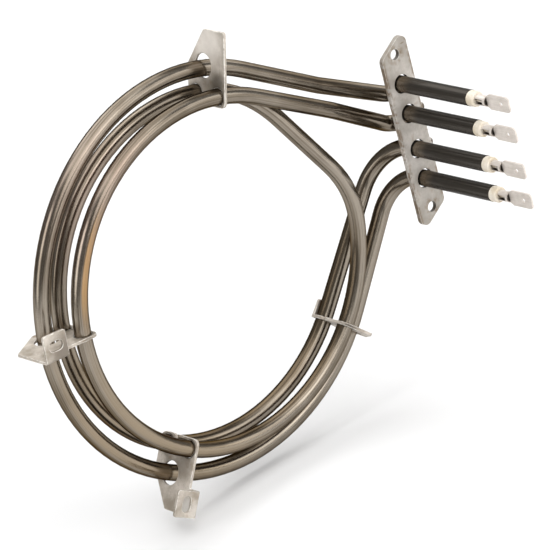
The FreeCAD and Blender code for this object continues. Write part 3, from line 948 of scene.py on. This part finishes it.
@dataclass
class Winding:
    """Sizes that both heaters share, and the turns of their routes."""

    tube_dia: float = 6.5 * MM
    sheath_wall: float = 0.5 * MM
    reach: float = 97.35 * MM
    drop: float = 17.5 * MM
    outer_rad: float = 79.4 * MM
    inner_rad: float = 68.5 * MM
    outer_depth: float = 19.5 * MM
    back_depth: float = 23.5 * MM
    front_depth: float = 10.5 * MM
    mouth: float = -40.0 * MM
    middle_gap: float = 15.2 * MM
    side_gap: float = 12.7 * MM
    exit_rad: float = 5.0 * MM
    joggle_rad: float = 5.0 * MM
    knee_rad: float = 18.0 * MM
    turn_axis: Vector = field(default_factory=lambda: Vector((0, -1, 0)))

    def hub(self, depth: float) -> Vector:
        """Return the ring's centre at a depth."""
        return Vector((-self.reach, depth, -self.drop))

    def heights(self) -> tuple[float, float]:
        """Return the heights of the inner and the outer cold ends over the flange's middle."""
        return self.middle_gap / 2, self.middle_gap / 2 + self.side_gap

    def turns(self) -> tuple[tuple[float, float], ...]:
        """Return radius and depth of the outer, the front and the back turn."""
        inner = self.inner_rad
        return (self.outer_rad, self.outer_depth), (inner, self.front_depth), (inner, self.back_depth)

    def ring_point(self, radius: float, angle: float, depth: float) -> Vector:
        """Return a point of a turn by its angle in degrees."""
        turn = math.radians(angle)
        return self.hub(depth) + Vector((radius * math.cos(turn), 0, radius * math.sin(turn)))

    def tangent(self, angle: float) -> Vector:
        """Return the direction of travel at an angle in degrees."""
        turn = math.radians(angle)
        return Vector((-math.sin(turn), 0, math.cos(turn)))

    def leaving(self, radius: float, target: Vector) -> float:
        """Return the angle where a turn's tangent leaves for a target.

        Args:
            radius: Radius of the turn.
            target: The point that the tangent passes.

        Returns:
            The angle in degrees.
        """
        offset = target - self.hub(target.y)
        heading = math.degrees(math.atan2(offset.z, offset.x))
        return heading - math.degrees(math.acos(radius / offset.length))

    def turn(self, radius: float, depth: float, first: float, last: float) -> Bend:
        """Return the stretch of a turn between two angles in degrees."""
        return Bend(self.hub(depth), self.turn_axis, math.radians(last - first), radius)

    def bent(self, start: Vector, corners: Sequence[tuple[Vector, float]], end: Vector) -> Iterator[Stretch]:
        """Yield straights rounded at their corners.

        Args:
            start: First point.
            corners: Corner points, each with its bend's radius.
            end: Last point.

        Yields:
            The stretches in order.
        """
        spots = [start] + [spot for spot, _ in corners] + [end]
        for number, (corner, radius) in enumerate(corners, start=1):
            incoming = (corner - spots[number - 1]).normalized()
            outgoing = (spots[number + 1] - corner).normalized()
            angle = incoming.angle(outgoing)
            first = corner - incoming * radius * math.tan(angle / 2)
            axis = incoming.cross(outgoing).normalized()
            yield Straight(first)
            yield Bend(first + axis.cross(incoming) * radius, axis, angle, radius)
        yield Straight(end)


@dataclass
class Heater:
    """One bent sheath: its name, its row in the flange, its leads and its route."""

    node: str
    winding: Winding
    row: int
    slope: float
    exit_depth: float
    knee_side: float
    joggle_side: float
    joggle_depth: float
    joggle_drop: float
    return_rad: float
    sides: int = 40
    mouth_depth: float = 3 * MM
    shortest: float = 0.01 * MM

    def height(self) -> float:
        """Return how far its two cold ends are from the flange's middle."""
        return self.winding.heights()[self.row]

    def route(self) -> Iterator[Stretch]:
        """Yield the stretches from the first mouth to the last."""
        raise NotImplementedError

    def rise(self) -> Vector:
        """Return the direction in which the first lead climbs to the ring."""
        pitch = math.radians(self.slope)
        return Vector((-math.cos(pitch), 0, math.sin(pitch)))

    def lead(self, join: Vector) -> Iterator[Stretch]:
        """Yield the first lead, from its mouth through the flange and up to the ring.

        Args:
            join: Where the lead's slope meets the ring.

        Yields:
            The stretches in order.
        """
        wind, rise = self.winding, self.rise()
        start = Vector((0, wind.mouth, self.height()))
        leave = Vector((0, self.exit_depth, self.height()))
        knee = join - rise * ((join.x + self.knee_side) / rise.x)
        joggle = Vector((self.joggle_side, self.joggle_depth, knee.z - self.joggle_drop))
        corners = [(leave, wind.exit_rad), (joggle, wind.joggle_rad), (knee, wind.knee_rad)]
        yield from wind.bent(start, corners, join)

    def homing(self, radius: float, depth: float, first: float) -> Iterator[Stretch]:
        """Yield the rest of a turn and the last lead, down to its mouth.

        Args:
            radius: Radius of the turn.
            depth: Depth of the turn.
            first: Angle in degrees where this stretch of the turn starts.

        Yields:
            The stretches in order.
        """
        wind = self.winding
        corner = Vector((0, depth, -self.height()))
        last = wind.leaving(radius, corner) + 360
        yield wind.turn(radius, depth, first, last)
        here = wind.ring_point(radius, last, depth)
        end = Vector((0, wind.mouth, -self.height()))
        yield from wind.bent(here, [(corner, self.return_rad)], end)

    def build(self) -> bpy.types.Object:
        """Bend the sheath along its route and dress it.

        Returns:
            The piece that stands for the sheath's solid.
        """
        winding = self.winding
        inward = Vector((0, 1, 0))
        start = Vector((0, winding.mouth, self.height()))
        runner = TubeRunner(start, inward, winding.tube_dia / 2, self.sides)
        first_edges = list(runner.edges)
        for stretch in self.route():
            if isinstance(stretch, Bend):
                runner.bend(stretch)
            elif (stretch.end - runner.here).length > self.shortest:
                runner.straight(stretch.end)
        LOG.info("%s ends at %s", self.node, tuple(round(part / MM, 2) for part in runner.here))
        runner.mark()
        bore = winding.tube_dia / 2 - winding.sheath_wall
        for edges in (first_edges, runner.edges):
            runner.mouth(edges, inward, bore, self.mouth_depth)
        skin = placed(f"{self.node}_skin", runner.to_mesh(f"{self.node}_skin"))
        skin.data.materials.append(Stuff.SHEATH.material())
        return skin


@dataclass
class SingleTurn(Heater):
    """The heater with one outer turn."""

    row: int = 1
    slope: float = 33.0
    exit_depth: float = 5.33 * MM
    knee_side: float = 25.31 * MM
    joggle_side: float = 17.74 * MM
    joggle_depth: float = 16.87 * MM
    joggle_drop: float = 24.38 * MM
    return_rad: float = 17.2 * MM
    top_arc_rad: float = 75.07 * MM
    top_arc_end: float = 112.8

    def route(self) -> Iterator[Stretch]:
        """Yield the outer turn and its leads.

        Yields:
            The stretches from the first mouth to the last.
        """
        wind, rise = self.winding, self.rise()
        depth, radius = wind.outer_depth, wind.outer_rad
        centre = wind.ring_point(radius - self.top_arc_rad, self.top_arc_end, depth)
        yield from self.lead(centre + Vector((rise.z, 0, -rise.x)) * self.top_arc_rad)
        sweep = math.radians(self.top_arc_end - (90 - self.slope))
        yield Bend(centre, wind.turn_axis, sweep, self.top_arc_rad)
        yield from self.homing(radius, depth, self.top_arc_end)


@dataclass
class DoubleTurn(Heater):
    """The heater with two inner turns and the crossover between them."""

    row: int = 0
    slope: float = 32.0
    exit_depth: float = 4.83 * MM
    knee_side: float = 28.44 * MM
    joggle_side: float = 20.42 * MM
    joggle_depth: float = 23.83 * MM
    joggle_drop: float = 33.41 * MM
    return_rad: float = 20.5 * MM
    cross_in: float = 353.3
    cross_out: float = 70.7
    first_run: float = 12.7 * MM
    last_run: float = 19.3 * MM

    def route(self) -> Iterator[Stretch]:
        """Yield the two inner turns, their crossover and their leads.

        Yields:
            The stretches from the first mouth to the last.
        """
        wind, radius = self.winding, self.winding.inner_rad
        front, back = wind.front_depth, wind.back_depth
        yield from self.lead(wind.ring_point(radius, 90 - self.slope, front))
        yield wind.turn(radius, front, 90 - self.slope, self.cross_in)
        here = wind.ring_point(radius, self.cross_in, front)
        there = wind.ring_point(radius, self.cross_out, back)
        first = here + wind.tangent(self.cross_in) * self.first_run
        last = there - wind.tangent(self.cross_out) * self.last_run
        across = last - first
        first_rad = self.first_run / math.tan((first - here).angle(across) / 2)
        last_rad = self.last_run / math.tan((there - last).angle(across) / 2)
        yield from wind.bent(here, [(first, first_rad), (last, last_rad)], there)
        yield from self.homing(radius, back, self.cross_out)


@dataclass
class PressedPart:
    """A sheet or turned piece whose edges are softened over its solid."""

    node: str
    face: Stuff
    edge: Stuff
    round_over: float = 0.3 * MM
    segments: int = 3
    weld: float = 0.002 * MM
    flat: float = math.radians(1)
    crease: float = math.radians(40)

    def build(self, frame: dict[str, Any]) -> bpy.types.Object:
        """Copy the solid's mesh, merge its faces and soften its edges.

        Args:
            frame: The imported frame.

        Returns:
            The piece that stands for the solid.
        """
        mesh = frame["nodes"][self.node].data.copy()
        mesh.materials.clear()
        bm = bmesh.new()
        bm.from_mesh(mesh)
        bmesh.ops.remove_doubles(bm, verts=bm.verts, dist=self.weld)
        bmesh.ops.dissolve_limit(bm, angle_limit=self.flat, verts=bm.verts, edges=bm.edges)
        for face in bm.faces:
            face.smooth = True
        bm.to_mesh(mesh)
        bm.free()
        mesh.materials.append(self.face.material())
        mesh.materials.append(self.edge.material())
        piece = placed(f"{self.node}_skin", mesh)
        bevel = piece.modifiers.new("softened", "BEVEL")
        bevel.width, bevel.segments, bevel.material = self.round_over, self.segments, 1
        bevel.limit_method, bevel.angle_limit = "ANGLE", self.crease
        bevel.harden_normals = False
        weighted = piece.modifiers.new("weighted", "WEIGHTED_NORMAL")
        weighted.keep_sharp = False
        return piece


@dataclass(frozen=True)
class SoftBox:
    """One rectangular lamp: where it hangs in metres, its width and height, and its watts."""

    name: str
    place: Vector
    size: tuple[float, float]
    power: float


SOFT_BOXES = (
    SoftBox("front", Vector((-0.14, -1.02, 0.92)), (1.2, 1.2), 8.6),
    SoftBox("left", Vector((-1.27, 0.06, 0.53)), (0.6, 0.9), 4.0),
    SoftBox("low", Vector((0.2, -0.62, 0.2)), (0.7, 0.45), 1.7),
    SoftBox("back", Vector((0.2, 0.79, 0.98)), (1.2, 0.6), 4.0),
    SoftBox("top", Vector((-0.1, 0.05, 1.25)), (1.6, 1.6), 12.5),
    SoftBox("right", Vector((0.95, 0.35, 0.5)), (1.0, 0.7), 3.2),
)


@dataclass
class Studio:
    """Pale floor, soft light and the camera."""

    floor_height: float = -104 * MM
    floor_half: float = 6.0
    floor_tone: Colour = (0.77, 0.77, 0.77, 1)
    near_glow: float = 0.06
    far_glow: Rise = Rise(0.3, 1.7, 0.8)
    world_tone: Colour = (0.3, 0.3, 0.3, 1)
    lamp_aim: Vector = field(default_factory=lambda: Vector((-0.09, 0.01, -0.02)))
    camera_place: Vector = field(default_factory=lambda: Vector((-1.03319, -1.34995, 0.68164)))
    camera_aim: Vector = field(default_factory=lambda: Vector((-0.07417, 0.010, -0.02929)))
    camera_roll: float = -14.657
    focal: float = 307.82

    def floor(self) -> None:
        """Lay the white floor, with a soft glow that is only seen, straight or reflected."""
        bm = bmesh.new()
        bmesh.ops.create_grid(bm, x_segments=1, y_segments=1, size=self.floor_half,
                              matrix=Matrix.Translation((0, 0, self.floor_height)))
        mesh = bpy.data.meshes.new("floor")
        bm.to_mesh(mesh)
        bm.free()
        material = bpy.data.materials.new("floor_white")
        material.use_nodes = True
        shader = Shader(material.node_tree)
        paper = shader.node("ShaderNodeBsdfDiffuse", {}, {"Color": self.floor_tone})
        rays = ("Is Camera Ray", "Is Glossy Ray", "Is Transmission Ray")
        camera, glossy, through = (shader.node("ShaderNodeLightPath", {}, {}, ray) for ray in rays)
        seen = camera.maths("MAXIMUM", glossy).maths("MAXIMUM", through)
        far = shader.gap(shader.place(), Vector((0, 0, 0))).rise(self.far_glow)
        level = seen * (far + self.near_glow)
        glow = shader.node("ShaderNodeEmission", {}, {"Color": (1, 1, 1, 1), "Strength": level})
        shader.show(shader.node("ShaderNodeAddShader", {}, {0: paper, 1: glow}))
        mesh.materials.append(material)
        floor = placed("floor", mesh)

    def world(self) -> None:
        """Fill the surroundings with plain soft light."""
        world = bpy.data.worlds.new("studio")
        world.use_nodes = True
        bpy.context.scene.world = world
        shader = Shader(world.node_tree)
        glow = shader.node("ShaderNodeBackground", {}, {"Color": self.world_tone, "Strength": 1.0})
        shader.show(glow, "ShaderNodeOutputWorld")

    def lights(self) -> None:
        """Hang the soft boxes, all turned to the ring."""
        for box in SOFT_BOXES:
            light = bpy.data.lights.new(box.name, "AREA")
            light.shape, light.energy = "RECTANGLE", box.power
            light.size, light.size_y = box.size
            lamp = placed(box.name, light)
            lamp.location = box.place
            lamp.rotation_euler = (self.lamp_aim - box.place).to_track_quat("-Z", "Y").to_euler()

    def camera(self) -> None:
        """Set the camera at the photograph's viewing angle."""
        data = bpy.data.cameras.new("camera")
        data.lens, data.sensor_width = self.focal, 36.0
        data.clip_start, data.clip_end = 0.05, 20.0
        camera = placed("camera", data)
        look = (self.camera_aim - self.camera_place).to_track_quat("-Z", "Y")
        roll = Matrix.Rotation(math.radians(self.camera_roll), 4, "Z")
        camera.matrix_world = Matrix.Translation(self.camera_place) @ look.to_matrix().to_4x4() @ roll
        bpy.context.scene.camera = camera

    def build(self) -> None:
        """Set up floor, world, lamps and camera."""
        self.camera()
        self.floor()
        self.world()
        self.lights()
        bpy.context.scene.view_settings.view_transform = "Standard"


def dress_heaters() -> None:
    """Build both sheaths over their solids."""
    winding = Winding()
    for heater in (SingleTurn("single_turn_sheath", winding), DoubleTurn("double_turn_sheath", winding)):
        skin = heater.build()
        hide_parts(heater.node)
        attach(skin, ROOT)


def dress_sheets(frame: dict[str, Any]) -> None:
    """Soften the edges of the flange, the brackets, the beads and the tabs.

    Args:
        frame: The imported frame.
    """
    sheets = ["top_bracket", "left_bracket", "bottom_bracket", "right_clip"]
    parts = [(PressedPart(node, Stuff.SHEET, Stuff.EDGE), "stamped_steel") for node in sheets]
    parts.append((PressedPart("mounting_flange", Stuff.FLANGE, Stuff.EDGE), "stamped_steel"))
    for number in range(1, 5):
        bead = PressedPart(f"ceramic_bead_{number}", Stuff.CERAMIC, Stuff.CERAMIC,
                           round_over=0.12 * MM, segments=2)
        tab = PressedPart(f"tab_terminal_{number}", Stuff.TAB, Stuff.TAB, round_over=0.1 * MM, segments=2)
        parts += [(bead, "bead_ceramic"), (tab, "tab_steel")]
    for part, slot in parts:
        piece = part.build(frame)
        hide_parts(part.node)
        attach(piece, ROOT)
        LOG.info("%s softened", part.node)


def dress_inside(frame: dict[str, Any]) -> None:
    """Give the inner pieces their finishes.

    Args:
        frame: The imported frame.
    """
    finishes = {"single_turn_filling": Stuff.POWDER, "double_turn_filling": Stuff.POWDER,
                "single_turn_coil": Stuff.WIRE, "double_turn_coil": Stuff.WIRE}
    finishes.update({f"terminal_pin_{number}": Stuff.WIRE for number in range(1, 5)})
    for node, stuff in finishes.items():
        mesh = frame["nodes"][node].data
        mesh.materials.clear()
        mesh.materials.append(stuff.material())


def main() -> None:
    """Build the studio and dress every piece of the element."""
    logging.basicConfig(level=logging.INFO, format="%(message)s")
    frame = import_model()
    Studio().build()
    dress_heaters()
    dress_sheets(frame)
    dress_inside(frame)


if __name__ == "__main__":
    main()
